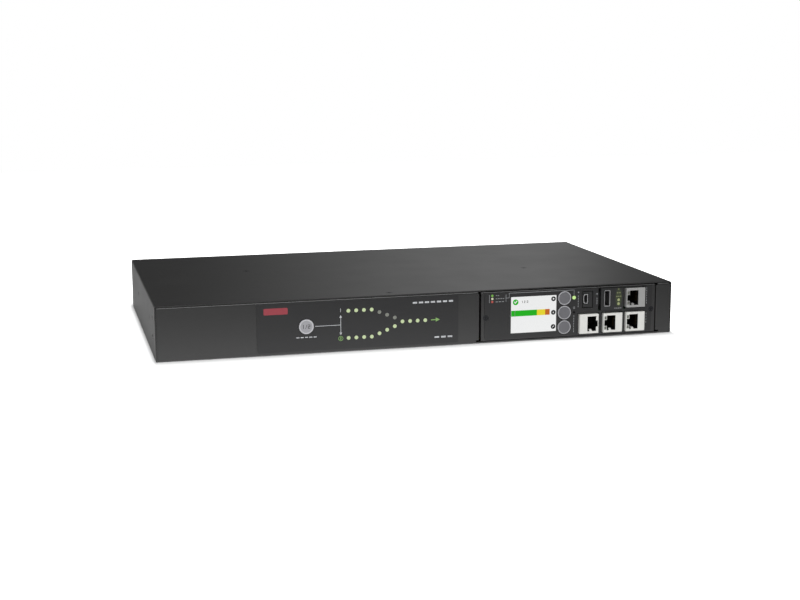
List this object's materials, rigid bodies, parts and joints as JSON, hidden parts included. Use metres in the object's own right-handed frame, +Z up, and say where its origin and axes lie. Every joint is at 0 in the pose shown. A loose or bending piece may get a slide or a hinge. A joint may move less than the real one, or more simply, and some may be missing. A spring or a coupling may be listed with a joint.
{
  "type": "rack automatic transfer switch",
  "caption": "Flat black rack-mount power transfer switch with a lit path legend, a control module with display, keys and jacks, and mains inlets and outlets at the rear.",
  "frame": {"origin": "centre of the underside of the case", "axes": "+X to the right when facing the front panel, +Y from the front panel to the rear panel, +Z up"},
  "size_m": [0.432, 0.2521, 0.044],
  "materials": {
    "case_paint": "fine satin black powder coat",
    "zinc_steel": "bright zinc plate",
    "black_screw": "black zinc",
    "brass": "bright rolled brass",
    "overlay_film": "matt printed polycarbonate film",
    "white_ink": "matt light grey ink",
    "red_ink": "matt red ink",
    "green_light": "lit pale green light pipe",
    "status_green": "lit green light pipe",
    "dark_light": "unlit grey light pipe",
    "silver_button": "satin silver-grey moulding",
    "grey_key": "satin grey moulding",
    "black_plastic": "fine-grained black moulding",
    "port_black": "satin black moulding",
    "port_light": "lit yellow-green light pipe",
    "circuit_board": "green solder mask on glass fibre",
    "screen_white": "lit display behind a clear window",
    "screen_green": "lit display colour",
    "screen_yellow": "lit display colour",
    "screen_orange": "lit display colour",
    "screen_black": "display symbol",
    "connector_steel": "bright nickel plate",
    "jack_grey": "satin light grey shield",
    "jack_white": "satin off-white shield",
    "jack_window": "unlit light window",
    "relay_blue": "moulded relay case",
    "core_steel": "varnished core laminations",
    "copper_winding": "amber tape over the winding",
    "capacitor_sleeve": "shrunk plastic sleeve",
    "sensor_green": "coated ring core",
    "header_cream": "natural nylon",
    "reset_white": "satin white moulding"
  },
  "bodies": {
    "case": {"base_tray": "case_paint", "top_cover": "case_paint", "cover_screws": "black_screw", "cover_posts": "zinc_steel", "module_brackets": "case_paint", "board_standoffs": "brass", "front_overlay": "overlay_film", "front_print": "white_ink", "red_bar": "red_ink", "lit_marks": "green_light", "preference_switch": "black_plastic", "indicator_board": "circuit_board", "lit_lights": "green_light", "dark_lights": "dark_light", "module_tray": "case_paint", "module_overlay": "overlay_film", "module_screws": "black_screw", "display_panel": "screen_white", "screen_green": "screen_green", "screen_yellow": "screen_yellow", "screen_orange": "screen_orange", "screen_symbols": "screen_black", "display_board": "circuit_board", "display_switches": "black_plastic", "status_light": "status_green", "port_bezels": "port_black", "port_lights": "port_light", "usb_a_shell": "connector_steel", "mini_usb_shell": "connector_steel", "port_insulators": "black_plastic", "network_jack": "jack_grey", "sensor_jacks": "jack_white", "console_jack": "jack_white", "jack_contacts": "brass", "jack_windows": "jack_window", "module_board": "circuit_board", "main_board": "circuit_board", "transfer_relays": "relay_blue", "transformer_cores": "core_steel", "transformer_windings": "copper_winding", "capacitors": "capacitor_sleeve", "current_sensors": "sensor_green", "board_headers": "header_cream", "inlet_1": "black_plastic", "inlet_2": "black_plastic", "inlet_pins": "brass", "power_links": "brass", "outlet_blocks": "black_plastic", "outlet_contacts": "brass", "outlet_board": "circuit_board", "breakers": "black_plastic", "breaker_nuts": "zinc_steel", "earth_screw": "zinc_steel"},
    "preference_button": {"preference_button": "silver_button"},
    "upper_key": {"upper_key": "grey_key"},
    "middle_key": {"middle_key": "grey_key"},
    "lower_key": {"lower_key": "grey_key"},
    "recessed_button": {"recessed_button": "black_plastic"},
    "reset_button_1": {"reset_button_1": "reset_white"},
    "reset_button_2": {"reset_button_2": "reset_white"}
  },
  "joints": [
    {"name": "preference_button_press", "type": "slide", "parent": "case", "child": "preference_button", "axis": [0, 1, 0], "range_m": [0, 0.0008], "stiffness_N_per_m": 600, "springref_m": -0.0005},
    {"name": "upper_key_press", "type": "slide", "parent": "case", "child": "upper_key", "axis": [0, 1, 0], "range_m": [0, 0.0008], "stiffness_N_per_m": 500, "springref_m": -0.0005},
    {"name": "middle_key_press", "type": "slide", "parent": "case", "child": "middle_key", "axis": [0, 1, 0], "range_m": [0, 0.0008], "stiffness_N_per_m": 500, "springref_m": -0.0005},
    {"name": "lower_key_press", "type": "slide", "parent": "case", "child": "lower_key", "axis": [0, 1, 0], "range_m": [0, 0.0008], "stiffness_N_per_m": 500, "springref_m": -0.0005},
    {"name": "recessed_button_press", "type": "slide", "parent": "case", "child": "recessed_button", "axis": [0, 1, 0], "range_m": [0, 0.0004], "stiffness_N_per_m": 300, "springref_m": -0.0005},
    {"name": "reset_button_1_pop", "type": "slide", "parent": "case", "child": "reset_button_1", "axis": [0, 1, 0], "range_m": [0, 0.0035]},
    {"name": "reset_button_2_pop", "type": "slide", "parent": "case", "child": "reset_button_2", "axis": [0, 1, 0], "range_m": [0, 0.0035]}
  ]
}
